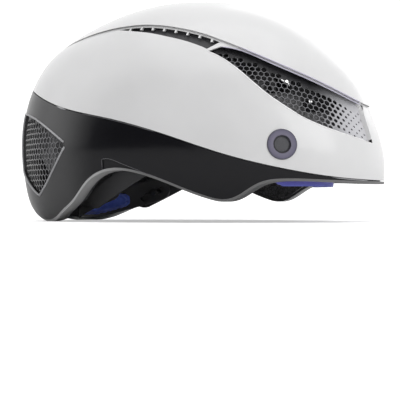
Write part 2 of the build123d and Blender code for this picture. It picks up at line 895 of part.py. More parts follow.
def make_nape_cradle():
    """Band round the nape, with a slot at each end for the arms' studs."""
    wall = fit_wall(cradle_inset, cradle_thickness, 0, above)
    travel = reach_back + reach_forward
    shift = (reach_forward - reach_back) / 2
    slot_centre = (stud_forward + arm_slope[0] * shift, stud_level + arm_slope[1] * shift)
    slot_turn = math.degrees(math.atan2(arm_slope[1], arm_slope[0]))
    with BuildPart() as cradle:
        with BuildSketch(Plane.XZ):
            with Locations((cradle_back, cradle_level)):
                Circle(cradle_radius)
            with Locations((cradle_side, cradle_side_level)):
                Circle(cradle_side_radius)
            make_hull()
            with Locations(slot_centre):
                SlotCenterToCenter(travel + 2 * free_gap, (stud_radius + running_gap) * 2,
                                   rotation=slot_turn, mode=Mode.SUBTRACT)
        extrude(amount=cut_reach, both=True)
        add(wall, mode=Mode.INTERSECT)
    return cradle.part


def make_nape_pad():
    """Cushion inside the cradle, with a thin border and a raised middle."""
    seat = cradle_inset + cradle_thickness + bond_gap
    parts = []
    for thickness, shrink in ((pad_border, 0), (nape_pad_thickness, pad_border_width / 2)):
        wall = fit_wall(seat, thickness, 0, above)
        with BuildPart() as part:
            with BuildSketch(Plane.XZ):
                with Locations((cradle_back, cradle_level)):
                    Circle(nape_pad_radius - shrink)
                with Locations((nape_pad_end, nape_pad_end_level)):
                    Circle(nape_pad_end_radius - shrink)
                make_hull()
            extrude(amount=cut_reach, both=True)
            add(wall, mode=Mode.INTERSECT)
        parts.append(part.part)
    with BuildPart() as pad:
        for part in parts:
            add(part)
    return pad.part


def make_dial_housing():
    """Block behind the cradle that holds the dial's spool."""
    inside = fit_wall(cradle_inset, fit_half_width / 2, 0, above)
    with BuildPart() as housing:
        with BuildSketch(Plane.YZ.offset(housing_back)):
            with Locations((0, cradle_level)):
                RectangleRounded(housing_width, housing_height, housing_radius)
        extrude(amount=housing_depth * 2)
        with BuildSketch(Plane.YZ.offset(housing_back + housing_wall)):
            with Locations((0, cradle_level)):
                Circle(spool_chamber_radius)
        extrude(amount=housing_depth * 2, mode=Mode.SUBTRACT)
        with BuildSketch(Plane.YZ.offset(housing_back)):
            with Locations((0, cradle_level)):
                Circle(shaft_radius + running_gap)
        extrude(amount=housing_wall, mode=Mode.SUBTRACT)
        add(inside, mode=Mode.SUBTRACT)
        edges = housing.faces().sort_by(Axis.X)[0].outer_wire().edges()
        chamfer(edges, housing_wall / 2)
    return housing.part


def make_dial_knob():
    """Ridged knob with its shaft."""
    with BuildPart() as knob:
        with BuildSketch(Plane.YZ.offset(housing_back - free_gap)):
            with Locations((0, cradle_level)):
                Circle(knob_radius)
        extrude(amount=-knob_depth)
        chamfer(knob.faces().sort_by(Axis.X)[0].edges(), knob_chamfer)
        with BuildSketch(Plane.YZ.offset(housing_back - free_gap)):
            with Locations((0, cradle_level)):
                with PolarLocations(knob_radius, knob_grips):
                    Circle(knob_grip_radius)
        extrude(amount=-knob_depth, mode=Mode.SUBTRACT)
        with BuildSketch(Plane.YZ.offset(housing_back - free_gap)):
            with Locations((0, cradle_level)):
                Circle(shaft_radius)
        extrude(amount=free_gap + housing_wall + free_gap + spool_length)
    return knob.part


def make_dial_spool():
    """Spool on the knob's shaft, with a flange at each end."""
    start = housing_back + housing_wall + free_gap
    with BuildPart() as spool:
        with BuildSketch(Plane.YZ.offset(start)):
            with Locations((0, cradle_level)):
                Circle(spool_radius)
        extrude(amount=spool_length)
        with BuildSketch(Plane.YZ.offset(start), Plane.YZ.offset(start + spool_length - spool_flange)):
            with Locations((0, cradle_level)):
                Circle(spool_flange_radius)
        extrude(amount=spool_flange)
        with BuildSketch(Plane.YZ.offset(start)):
            with Locations((0, cradle_level)):
                Circle(shaft_radius)
        extrude(amount=spool_length, mode=Mode.SUBTRACT)
    return spool.part


def make_lace():
    """Right lace, from the arm's end round to the housing."""
    low = cradle_level - lace_height / 2
    wall = fit_wall(arm_thickness + free_gap, lace_thickness, low, low + lace_height)
    start = housing_width / 2 + free_gap
    with BuildPart() as lace:
        with BuildSketch(Plane.XZ.offset(start)):
            with Locations((arm_end_back - half_length / 2, cradle_level)):
                Rectangle(half_length, above)
        extrude(amount=cut_reach)
        add(wall, mode=Mode.INTERSECT)
    return lace.part


pieces = {
    "top_shell": make_top_shell(),
    "lower_shell": make_lower_shell(),
    "rim_trim": make_rim_trim(),
    "brow_pad": make_brow_pad(),
    "rear_pad": make_rear_pad(),
    "crown_pad_front": make_crown_pad(crown_pad_front_length, 1, tongue_width),
    "crown_pad_rear": make_crown_pad(crown_pad_rear_length, -1),
    "strap_anchors": make_strap_anchors(),
    "buckle_female": make_buckle_female(),
    "buckle_male": make_buckle_male(),
    "nape_cradle": make_nape_cradle(),
    "nape_pad": make_nape_pad(),
    "dial_housing": make_dial_housing(),
    "dial_knob": make_dial_knob(),
    "dial_spool": make_dial_spool(),
}
right_pieces = {
    "eps_liner": make_liner(),
    "vent_mesh": make_honeycomb(vent_loop, front_pillar_half_width, Plane.XZ, vent_cell),
    "rear_mesh": make_honeycomb(rear_loop, pillar_half_width, rear_plane, rear_cell),
    "slot_insert": make_slot_insert(),
    "visor_seat": make_visor_seat(),
    "visor_magnet": make_visor_magnet(),
    "side_pad": make_side_pad(),
    "side_strap": make_side_strap(),
    "strap_divider": make_strap_divider(),
    "chin_strap": make_chin_strap(),
    "fit_pivot": make_fit_pivot(),
    "fit_arm": make_fit_arm(),
    "lace": make_lace(),
}
for name, right in right_pieces.items():
    pieces[name + "_right"] = right
    pieces[name + "_left"] = mirror(right, about=Plane.XZ)

for name, piece in pieces.items():
    piece.label = name
    export_step(piece, "parts/" + name + ".step")

everything = Compound(children=list(pieces.values()))
print("whole helmet", everything.bounding_box())
print("visor point", visor_point, "normal", visor_normal)
print("pivot", pivot_forward, pivot_outer, pivot_level, "slide", arm_slope, "stud", stud_forward, stud_level)
print("housing back", housing_back, "buckle middle", buckle_middle)
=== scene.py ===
import json
import math
import bmesh
import bpy
import numpy as np
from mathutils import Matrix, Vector
from mathutils.bvhtree import BVHTree
from mathutils.geometry import delaunay_2d_cdt


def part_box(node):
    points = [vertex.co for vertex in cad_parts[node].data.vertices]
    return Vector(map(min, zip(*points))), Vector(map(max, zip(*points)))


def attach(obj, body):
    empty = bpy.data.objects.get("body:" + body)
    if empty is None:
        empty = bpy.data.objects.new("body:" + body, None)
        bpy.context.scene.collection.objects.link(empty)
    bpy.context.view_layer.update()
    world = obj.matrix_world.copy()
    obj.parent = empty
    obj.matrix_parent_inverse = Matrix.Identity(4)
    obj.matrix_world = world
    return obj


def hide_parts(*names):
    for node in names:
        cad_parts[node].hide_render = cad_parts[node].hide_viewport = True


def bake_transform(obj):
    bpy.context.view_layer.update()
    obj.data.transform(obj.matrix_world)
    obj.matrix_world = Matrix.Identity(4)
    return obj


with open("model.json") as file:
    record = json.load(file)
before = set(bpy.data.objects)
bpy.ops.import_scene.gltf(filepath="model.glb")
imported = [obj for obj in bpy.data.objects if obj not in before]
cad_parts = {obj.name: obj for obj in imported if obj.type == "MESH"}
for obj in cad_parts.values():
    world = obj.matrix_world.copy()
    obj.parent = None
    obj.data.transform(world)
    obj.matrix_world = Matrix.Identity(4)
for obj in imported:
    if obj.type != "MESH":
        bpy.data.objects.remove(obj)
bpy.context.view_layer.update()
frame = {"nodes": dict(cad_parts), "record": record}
nodes = frame["nodes"]

# Camera, matched to the photograph: level, on the helmet's right and turned towards its front
view_turn = 18.0
view_height = 0.016
view_distance = 1.050
view_lens = 120.1
sensor_width = 36.0

# Floor: its level just under the helmet, its half width, and the light that it adds for the camera
floor_level = -0.0002
floor_reach = 12.0
floor_lift = 0.45

# Surround: its colours at the horizon and overhead, the second from this Z of a direction upwards.
# The camera sees a white backdrop instead. Reflections see one that is black where a direction's Y is
# under the dark value, on the camera's side, and that has its full level over the light value
horizon_color = (0.33, 0.33, 0.335)
overhead_color = (0.90, 0.90, 0.91)
overhead_from = 0.9
backdrop_dark = -0.55
backdrop_light = -0.30
backdrop_level = 1.3

# Lamps: name, place, width and power. All face one point
lamp_target = (0, 0, 0.08)
lamps = [
    ("overhead lamp", (0.1, -0.3, 1.5), 1.4, 7),
    ("rear lamp", (-1.5, -0.5, 0.7), 1.2, 3),
    ("front lamp", (1.4, -0.6, 0.7), 0.9, 8),
    ("far lamp", (0.2, 1.4, 0.9), 1.0, 3),
]

# Honeycomb cells: distance from cell to cell, the wall between two as a share of it, and the bevel
# round each cell. The side vent's cells shrink towards an X, over a length, down to a smallest share
vent_pitch = 0.0042
rear_pitch = 0.0046
wall_share = 0.10
lip_share = 0.97
lip_drop = 0.00010
vent_fade_end = 0.134
vent_fade_length = 0.022
smallest_cell = 0.35

# Honeycomb panels: thickness, distance under the CAD face, bare border and a bare strip at the top, whose
# near-black finish is painted shade under the spine's lip, and how far a ray starts outside to see if the
# shell covers a place
panel_depth = 0.0006
panel_drop = 0.00008
panel_border = 0.0006
vent_shade_strip = 0.0030
clear_height = 0.010

# Faces of a panel: the share of a cell that counts as its hole, the share of the pitch round a cell's
# middle that counts as web, and the smallest length that the filling tells apart
hole_share = 0.98
web_share = 0.62
fill_tolerance = 0.000001

# Each panel's outline is pushed forward in its last stretch at the front: that stretch, and how far
front_end = 0.008
front_reach = 0.004

# The directions that the right side vent and the right rear vent face
vent_outward = (0.25, -0.75, 0.61)
rear_turn = math.radians(40.0)
rear_outward = (-math.cos(rear_turn), -math.sin(rear_turn), 0)

# Searches on CAD meshes: distance for merging points, and cosines for an outer face, for a sharp
# edge between two faces, and for an edge that looks away from the shells' middle
weld_distance = 0.000005
outer_cosine = 0.3
sharp_cosine = 0.75
away_cosine = 0.55
shell_middle = (0, 0, 0.060)

# Edges with painted highlights: boxes of low and high values for X, for Y on either side and for Z, and lines
# of height at the middle and fall towards the front
rear_vent_box = ((-1, -0.074), (-1, 1), (0.018, 0.088))
crease_box = ((-0.065, 0.002), (-1, 1), (0.028, 1))
vent_box = ((0.028, 0.138), (0.0135, 0.0785), (0.0575, 0.128))
parting_low = 0.0305
parting_line = (0.075, 0.36)
vent_line = (0.1419, 0.43)

# Beads on those edges: their radii and sides, the share of the radius at an end, and a direction that
# none of them runs along
parting_radius = 0.00030
rear_vent_radius = 0.00080
crease_radius = 0.00025
vent_low_radius = 0.00030
vent_top_radius = 0.00045
bead_sides = 6
bead_end = 0.3
bead_slant = (0.3, 0.2, 1)

# Returns at the side vents' front: where the edge is, the height between two of its points, the way
# in and how far, the least distance from the centre plane, and how far out the two faces are
return_box = ((0.1285, 1), (0.0125, 0.0172), (0.060, 1))
return_step = 0.0008
return_inward = (-0.92, 0, -0.37)
return_depth = 0.005
return_wall = 0.0142
return_outer = 0.0004
return_inner = 0.0001

# Visor seats: the left one's middle, and rings of colour as shares of their reach
seat_middle = (0.0870, 0.0794, 0.0559)
seat_reach = 0.0120
seat_rings = [
    (0.00, (0.030, 0.030, 0.034)),
    (0.44, (0.045, 0.045, 0.050)),
    (0.52, (0.020, 0.020, 0.024)),
    (0.57, (0.150, 0.140, 0.190)),
    (0.80, (0.115, 0.108, 0.160)),
    (0.90, (0.060, 0.057, 0.080)),
]

# Pads: mesh size, smoothing, and how far they swell towards the middle of the head
pad_voxel = 0.0012
pad_smoothing = 0.5
pad_rounds = 4
pad_swell = 0.0005
head_middle = (0, 0, 0.070)
cushions = [
    ("brow_pad", "helmet", "pad_blue"),
    ("rear_pad", "helmet", "pad_dark"),
    ("crown_pad_front", "helmet", "pad_dark"),
    ("crown_pad_rear", "helmet", "pad_dark"),
    ("side_pad_right", "helmet", "pad_dark"),
    ("side_pad_left", "helmet", "pad_dark"),
    ("nape_pad", "cradle", "pad_blue"),
]

# Webbing: its size, the chin straps' place along the helmet, a level under them, the X and Z of the
# front and rear anchors, and the dividers' reach and lower edge
strap_width = 0.015
strap_thickness = 0.0012
strap_middle = -0.005
strap_base = 0.080
anchor_places = [(0.042, 0.066), (-0.052, 0.062)]
divider_reach = 0.01475
divider_low = 0.1015

# Webbing meshes: points across and rows along, the share left free at each side, and the heights of
# the thinner sides' lower and upper points as shares of the thickness
strap_columns = 9
strap_rows = 48
strap_inset = 0.01
side_low = 0.3
side_high = 0.7

# Laces: the middle of their curve, the radius of one cord, its sides, and the steps over 90 degrees
fit_middle = 0.003
lace_radius = 0.00058
cord_sides = 10
lace_steps = 180


# Materials

def new_material(name):
    """A material with an empty Principled shader, and short cuts to its node tree."""
    material = bpy.data.materials.new(name)
    material.use_nodes = True
    tree = material.node_tree
    return material, tree, tree.nodes["Principled BSDF"]


def link(tree, source, target):
    tree.links.new(source, target)


def coordinates(tree, scale=(1, 1, 1)):
    """Object coordinates, stretched by a scale."""
    place = tree.nodes.new("ShaderNodeTexCoord")
    mapping = tree.nodes.new("ShaderNodeMapping")
    mapping.inputs["Scale"].default_value = scale
    link(tree, place.outputs["Object"], mapping.inputs["Vector"])
    return mapping.outputs["Vector"]


def component(tree, vector, axis):
    """One component of a vector."""
    node = tree.nodes.new("ShaderNodeSeparateXYZ")
    link(tree, vector, node.inputs["Vector"])
    return node.outputs[axis]


def combined(tree, operation, first, second):
    """Two values joined by a sum, a product or another operation."""
    node = tree.nodes.new("ShaderNodeMath")
    node.operation = operation
    link(tree, first, node.inputs[0])
    link(tree, second, node.inputs[1])
    return node.outputs[0]


def noise(tree, vector, scale, detail=2.0, roughness=0.5):
    """Soft random variation."""
    node = tree.nodes.new("ShaderNodeTexNoise")
    node.inputs["Scale"].default_value = scale
    node.inputs["Detail"].default_value = detail
    node.inputs["Roughness"].default_value = roughness
    link(tree, vector, node.inputs["Vector"])
    return node.outputs["Fac"]


def ramp(tree, factor, stops):
    """A colour ramp with stops of place and colour."""
    node = tree.nodes.new("ShaderNodeValToRGB")
    link(tree, factor, node.inputs["Fac"])
    elements = node.color_ramp.elements
    for element, (place, color) in zip(elements, stops):
        element.position = place
        element.color = (*color, 1)
    for place, color in stops[2:]:
        element = elements.new(place)
        element.color = (*color, 1)
    return node.outputs["Color"]


def spread(tree, factor, low, high, first=0.0, last=1.0, smooth=False):
    """Maps a factor between two values, 0 and 1 unless given, onto a range, straight or with soft ends."""
    node = tree.nodes.new("ShaderNodeMapRange")
    if smooth:
        node.interpolation_type = "SMOOTHSTEP"
    node.inputs["From Min"].default_value = first
    node.inputs["From Max"].default_value = last
    node.inputs["To Min"].default_value = low
    node.inputs["To Max"].default_value = high
    link(tree, factor, node.inputs["Value"])
    return node.outputs["Result"]


def uneven_gloss(tree, shader, factor, roughness, share=0.2):
    """Varies the shader's roughness by a share of it."""
    varied = spread(tree, factor, roughness * (1 - share), roughness * (1 + share))
    link(tree, varied, shader.inputs["Roughness"])


def bump(tree, shader, height, distance, strength=1.0, after=None):
    """Gives the shader a bump, on top of an earlier one if there is one."""
    node = tree.nodes.new("ShaderNodeBump")
    node.inputs["Strength"].default_value = strength
    node.inputs["Distance"].default_value = distance
    link(tree, height, node.inputs["Height"])
    if after is not None:
        link(tree, after, node.inputs["Normal"])
    link(tree, node.outputs["Normal"], shader.inputs["Normal"])
    return node.outputs["Normal"]


def graded_color(tree, vector, axis, color, graded):
    """A colour that turns into a tint between two places on an axis."""
    first, last, tint = graded
    share = spread(tree, component(tree, vector, axis), 0.0, 1.0, first, last, smooth=True)
    mix = tree.nodes.new("ShaderNodeMix")
    mix.data_type = "RGBA"
    link(tree, share, mix.inputs["Factor"])
    link(tree, color, mix.inputs["A"])
    mix.inputs["B"].default_value = (*tint, 1)
    return mix.outputs["Result"]


def moulded(name, dark, light, roughness, coat=0.0, grain=1400.0, depth=0.00002, specular=0.3, graded=None):
    """Moulded plastic: slight colour drift, uneven gloss, a fine grain and, if given, a tint along X."""
    material, tree, shader = new_material(name)
    vector = coordinates(tree)
    drift = noise(tree, vector, scale=22.0, detail=3.0)
    color = ramp(tree, drift, [(0.3, dark), (0.7, light)])
    if graded:
        color = graded_color(tree, vector, "X", color, graded)
    link(tree, color, shader.inputs["Base Color"])
    uneven_gloss(tree, shader, noise(tree, vector, scale=90.0, detail=4.0), roughness)
    shader.inputs["Specular IOR Level"].default_value = specular
    shader.inputs["Coat Weight"].default_value = coat
    shader.inputs["Coat Roughness"].default_value = 0.16
    bump(tree, shader, noise(tree, vector, grain), depth)
    return material


def knitted(name, dark, light, graded=None):
    """A knitted pad cover: small loops, a soft sheen, faint pilling and, if given, a tint graded along Z."""
    material, tree, shader = new_material(name)
    vector = coordinates(tree)
    loops = tree.nodes.new("ShaderNodeTexVoronoi")
    loops.inputs["Scale"].default_value = 900.0
    loops.inputs["Randomness"].default_value = 0.35
    link(tree, vector, loops.inputs["Vector"])
    pilling = noise(tree, vector, scale=60.0, detail=5.0)
    color = ramp(tree, pilling, [(0.3, dark), (0.72, light)])
    if graded:
        color = graded_color(tree, vector, "Z", color, graded)
    link(tree, color, shader.inputs["Base Color"])
    link(tree, spread(tree, loops.outputs["Distance"], low=0.75, high=0.95), shader.inputs["Roughness"])
    shader.inputs["Sheen Weight"].default_value = 0.35
    shader.inputs["Sheen Roughness"].default_value = 0.5
    first = bump(tree, shader, loops.outputs["Distance"], distance=0.0002, strength=0.7)
    bump(tree, shader, pilling, distance=0.0003, strength=0.5, after=first)
    return material


def woven(name, dark, light, scale):
    """Webbing or braid: two sets of threads that cross at right angles on the piece's UV map."""
    material, tree, shader = new_material(name)
    place = tree.nodes.new("ShaderNodeTexCoord")
    heights = []
    for turn in (math.radians(45), math.radians(-45)):
        mapping = tree.nodes.new("ShaderNodeMapping")
        mapping.inputs["Rotation"].default_value = (0, 0, turn)
        link(tree, place.outputs["UV"], mapping.inputs["Vector"])
        wave = tree.nodes.new("ShaderNodeTexWave")
        wave.inputs["Scale"].default_value = scale
        wave.inputs["Distortion"].default_value = 0.4
        link(tree, mapping.outputs["Vector"], wave.inputs["Vector"])
        heights.append(wave.outputs["Fac"])
    weave = combined(tree, "MULTIPLY", heights[0], heights[1])
    link(tree, ramp(tree, weave, [(0.1, dark), (0.8, light)]), shader.inputs["Base Color"])
    link(tree, spread(tree, weave, low=0.9, high=0.6), shader.inputs["Roughness"])
    shader.inputs["Sheen Weight"].default_value = 0.2
    bump(tree, shader, weave, distance=0.0003, strength=0.9)
    return material


def beaded_foam(name, seam, bead):
    """Expanded foam: packed beads with dark seams."""
    material, tree, shader = new_material(name)
    vector = coordinates(tree)
    beads = tree.nodes.new("ShaderNodeTexVoronoi")
    beads.feature = "DISTANCE_TO_EDGE"
    beads.inputs["Scale"].default_value = 330.0
    link(tree, vector, beads.inputs["Vector"])
    height = beads.outputs["Distance"]
    link(tree, ramp(tree, height, [(0.0, seam), (0.12, bead)]), shader.inputs["Base Color"])
    patches = noise(tree, vector, scale=120.0)
    link(tree, spread(tree, patches, low=0.5, high=0.75), shader.inputs["Roughness"])
    bump(tree, shader, height, distance=0.0004, strength=0.6)
    return material


def ringed(name, middle, reach, stops, roughness):
    """Rings of colour about a place, the same on both sides of the helmet, with a fine moulded grain."""
    material, tree, shader = new_material(name)
    vector = coordinates(tree)
    mirrored = tree.nodes.new("ShaderNodeVectorMath")
    mirrored.operation = "ABSOLUTE"
    link(tree, vector, mirrored.inputs[0])
    away = tree.nodes.new("ShaderNodeVectorMath")
    away.operation = "DISTANCE"
    link(tree, mirrored.outputs["Vector"], away.inputs[0])
    away.inputs[1].default_value = middle
    share = spread(tree, away.outputs["Value"], 0.0, 1.0, last=reach)
    drift = spread(tree, noise(tree, vector, scale=700.0, detail=3.0), low=-0.03, high=0.03)
    link(tree, ramp(tree, combined(tree, "ADD", share, drift), stops), shader.inputs["Base Color"])
    grain = noise(tree, vector, scale=1500.0)
    uneven_gloss(tree, shader, grain, roughness)
    bump(tree, shader, grain, distance=0.00003)
    return material


def brushed(name, color, roughness):
    """Plated metal with fine turning marks."""
    material, tree, shader = new_material(name)
    vector = coordinates(tree, (1, 1, 12))
    marks = noise(tree, vector, scale=900.0, detail=3.0)
    tint = tuple(value * 0.8 for value in color)
    link(tree, ramp(tree, marks, [(0.3, tint), (0.7, color)]), shader.inputs["Base Color"])
    uneven_gloss(tree, shader, marks, roughness, share=0.3)
    shader.inputs["Metallic"].default_value = 1.0
    bump(tree, shader, marks, distance=0.00001, strength=0.5)
    return material


# Tints of some finishes: where each starts, where it is full, and its colour, along X or for the pad along Z
# The black shell's lighter grey at the rear is a painted reflection; it fades to near black towards the front
painted_reflection_fade = (-0.085, -0.048, (0.005, 0.005, 0.0065))
# The rim trim's light grey at the rear is a painted highlight; it turns darker grey towards the front
trim_painted_highlight_fade = (-0.060, -0.010, (0.13, 0.13, 0.13))
vent_tint = (0.100, 0.134, (0.50, 0.50, 0.52))
# The rear honeycomb's light grey at the back is painted light, and its darker front is painted shade
rear_painted_light_fade = (-0.125, -0.095, (0.20, 0.20, 0.21))
pad_tint = (0.018, 0.036, (0.12, 0.08, 0.32))

finishes = {
    "shell_white": moulded("white gloss shell", (0.60, 0.60, 0.60), (0.63, 0.63, 0.63), roughness=0.34,
                           coat=0.35, grain=500.0, depth=0.00001),
    # The black shell's lighter rear is a painted reflection, graded to near black at the front
    "shell_black": moulded("black gloss shell with painted rear reflection", (0.040, 0.040, 0.041), (0.048, 0.048, 0.049), roughness=0.36,
                           coat=0.30, grain=450.0, depth=0.00001, specular=0.08, graded=painted_reflection_fade),
    "trim_grey": moulded("grey edge piece with painted rear highlight", (0.36, 0.36, 0.36), (0.42, 0.42, 0.42), roughness=0.45,
                         graded=trim_painted_highlight_fade),
    # The four highlight finishes are painted highlights for the beads on the shells' edges
    "highlight_grey": moulded("painted highlight edge", (0.26, 0.26, 0.27), (0.36, 0.36, 0.37), roughness=0.4),
    "highlight_crease": moulded("painted highlight crease edge", (0.07, 0.07, 0.075), (0.11, 0.11, 0.115), roughness=0.4),
    "highlight_white": moulded("painted highlight white edge", (0.80, 0.80, 0.80), (0.86, 0.86, 0.86), roughness=0.35),
    "highlight_lavender": moulded("painted highlight lavender edge", (0.50, 0.48, 0.58), (0.56, 0.54, 0.64), roughness=0.4),
    "mesh_grey": moulded("honeycomb plastic", (0.14, 0.14, 0.15), (0.20, 0.20, 0.21), roughness=0.42,
                         graded=vent_tint),
    "mesh_rear": moulded("rear honeycomb with painted light and shade", (0.42, 0.42, 0.42), (0.54, 0.54, 0.53), roughness=0.42,
                         graded=rear_painted_light_fade),
    # Near-black finish of the bare panel faces: painted shade under the spine's lip
    "mesh_shade": moulded("painted shade strip", (0.010, 0.010, 0.012), (0.018, 0.018, 0.020), roughness=0.45,
                          graded=vent_tint),
    "insert_black": moulded("slot strip", (0.035, 0.035, 0.038), (0.05, 0.05, 0.053), roughness=0.5),
    "foam_black": beaded_foam("beaded foam", (0.030, 0.030, 0.031), (0.120, 0.120, 0.124)),
    "pad_blue": knitted("blue pad cover", (0.08, 0.14, 0.70), (0.18, 0.28, 0.95), graded=pad_tint),
    "pad_dark": knitted("dark pad cover", (0.030, 0.030, 0.034), (0.065, 0.065, 0.072)),
    "webbing": woven("webbing", (0.006, 0.006, 0.007), (0.04, 0.04, 0.045), scale=60.0),
    "plastic_black": moulded("black nylon", (0.045, 0.045, 0.047), (0.075, 0.075, 0.078), roughness=0.5,
                             grain=1800.0, depth=0.00003),
    "seat_grey": ringed("visor seat", seat_middle, seat_reach, seat_rings, roughness=0.38),
    "magnet_metal": brushed("plated magnet", (0.16, 0.16, 0.17), roughness=0.35),
    "knob_grey": moulded("grey knob", (0.30, 0.31, 0.33), (0.38, 0.39, 0.41), roughness=0.42),
    "lace_black": woven("braided lace", (0.006, 0.006, 0.007), (0.05, 0.05, 0.055), scale=8.0),
}
for part in frame["record"]["subparts"]:
    node = nodes[part["node"]]
    node.data.materials.clear()
    node.data.materials.append(finishes[part["material_slot"]])


# Meshes

def add_object(name, mesh, body, slot, smooth=True, finish=None):
    """Puts a new mesh into the scene, with its slot's finish or another, riding on a body if one is given."""
    mesh.materials.append(finishes[finish or slot])
    for face in mesh.polygons:
        face.use_smooth = smooth
    piece = bpy.data.objects.new(name, mesh)
    bpy.context.scene.collection.objects.link(piece)
    if body is not None:
        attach(piece, body)
    return piece


def apply_modifiers(piece):
    """Replaces a piece's mesh by what its modifiers make of it."""
    graph = bpy.context.evaluated_depsgraph_get()
    made = bpy.data.meshes.new_from_object(piece.evaluated_get(graph))
    piece.modifiers.clear()
    piece.data = made


def tree_of(node):
    """A search tree over a CAD node's surface."""
    mesh = nodes[node].data
    points = [vertex.co.copy() for vertex in mesh.vertices]
    faces = [list(face.vertices) for face in mesh.polygons]
    return BVHTree.FromPolygons(points, faces)


def welded(node):
    """A CAD node's mesh for editing, with doubled points merged."""
    grid = bmesh.new()
    grid.from_mesh(nodes[node].data)
    bmesh.ops.remove_doubles(grid, verts=grid.verts, dist=weld_distance)
    grid.normal_update()
    return grid


def set_uv(mesh, name, places):
    """Writes a UV map from one place for each vertex."""
    layer = mesh.uv_layers.new(name=name)
    for loop in mesh.loops:
        layer.data[loop.index].uv = places[loop.vertex_index]


def join_rings(first, second, count):
    """The faces between two rings of points, given by the number of each ring's first point."""
    faces = []
    for step in range(count):
        after = (step + 1) % count
        faces.append((first + step, first + after, second + after, second + step))
    return faces


# Honeycomb inserts

def outer_outline(node, outward):
    """The outline of a panel's outer face as a closed list of points, and all of that face's points."""
    grid = welded(node)
    hidden = [face for face in grid.faces if face.normal.dot(outward) < outer_cosine]
    bmesh.ops.delete(grid, geom=hidden, context="FACES")
    rims = [edge for edge in grid.edges if len(edge.link_faces) == 1]
    loops = []
    used = set()
    for edge in rims:
        if edge in used:
            continue
        loop = [edge.verts[0]]
        current, corner = edge, edge.verts[1]
        while current not in used:
            used.add(current)
            loop.append(corner)
            around = [other for other in corner.link_edges if len(other.link_faces) == 1]
            following = [other for other in around if other not in used]
            if not following:
                break
            current = following[0]
            corner = current.other_vert(corner)
        loops.append([vertex.co.copy() for vertex in loop])
    points = [vertex.co.copy() for vertex in grid.verts]
    grid.free()
    longest = max(loops, key=lambda loop: sum((a - b).length for a, b in zip(loop, loop[1:])))
    if (longest[0] - longest[-1]).length < weld_distance:
        longest = longest[:-1]
    return longest, points


def surface_fit(places, depths, degree=6):
    """A smooth depth over a plane, fitted through scattered points, as a function of a place."""
    powers = [(i, j) for i in range(degree + 1) for j in range(degree + 1 - i)]
    places = np.array(places)
    middle = places.mean(0)
    size = np.abs(places - middle).max()
    unit = (places - middle) / size
    table = np.stack([unit[:, 0] ** i * unit[:, 1] ** j for i, j in powers], 1)
    weights = np.linalg.lstsq(table, np.array(depths), rcond=None)[0]

    def depth(place):
        u, v = (place[0] - middle[0]) / size, (place[1] - middle[1]) / size
        return float(sum(w * u ** i * v ** j for w, (i, j) in zip(weights, powers)))
    return depth


def hexagon(centre, size):
    """The corners of a hexagon that stands on a corner."""
    turns = [math.radians(30 + 60 * corner) for corner in range(6)]
    return [(centre[0] + size * math.cos(turn), centre[1] + size * math.sin(turn)) for turn in turns]


def is_inside(place, outline):
    """Whether a place is on the panel and its border's width away from its outline."""
    within = False
    for (u, v), (s, t) in zip(outline, outline[1:] + outline[:1]):
        if (v > place[1]) != (t > place[1]) and place[0] < u + (s - u) * (place[1] - v) / (t - v):
            within = not within
        along = Vector((s - u, t - v))
        square = max(along.length_squared, fill_tolerance ** 2)
        share = (Vector(place) - Vector((u, v))).dot(along) / square
        nearest = Vector((u, v)) + along * min(max(share, 0), 1)
        if (nearest - Vector(place)).length < panel_border:
            return False
    return within


def fill_outline(outline, cells, radius, pitch):
    """Fills an outline round its cells: the points, the faces near a cell, and the plain faces beyond."""
    places = list(outline)
    loops = [list(range(len(places)))]
    for *centre, size in cells:
        loops.append(list(range(len(places), len(places) + 6)))
        places += hexagon(centre, radius * size)
    found = delaunay_2d_cdt([Vector(place) for place in places], [], loops, 1, fill_tolerance)
    points, filled = found[0], found[2]
    inner = radius * math.cos(math.radians(30))
    spots = np.array(cells)
    webs, plain = [], []
    for face in filled:
        middle = sum((points[index] for index in face), Vector((0, 0))) / len(face)
        away = np.hypot(spots[:, 0] - middle.x, spots[:, 1] - middle.y)
        if (away - inner * hole_share * spots[:, 2]).min() > 0:
            group = webs if away.min() < pitch * web_share else plain
            group.append(list(face))
    return points, webs, plain


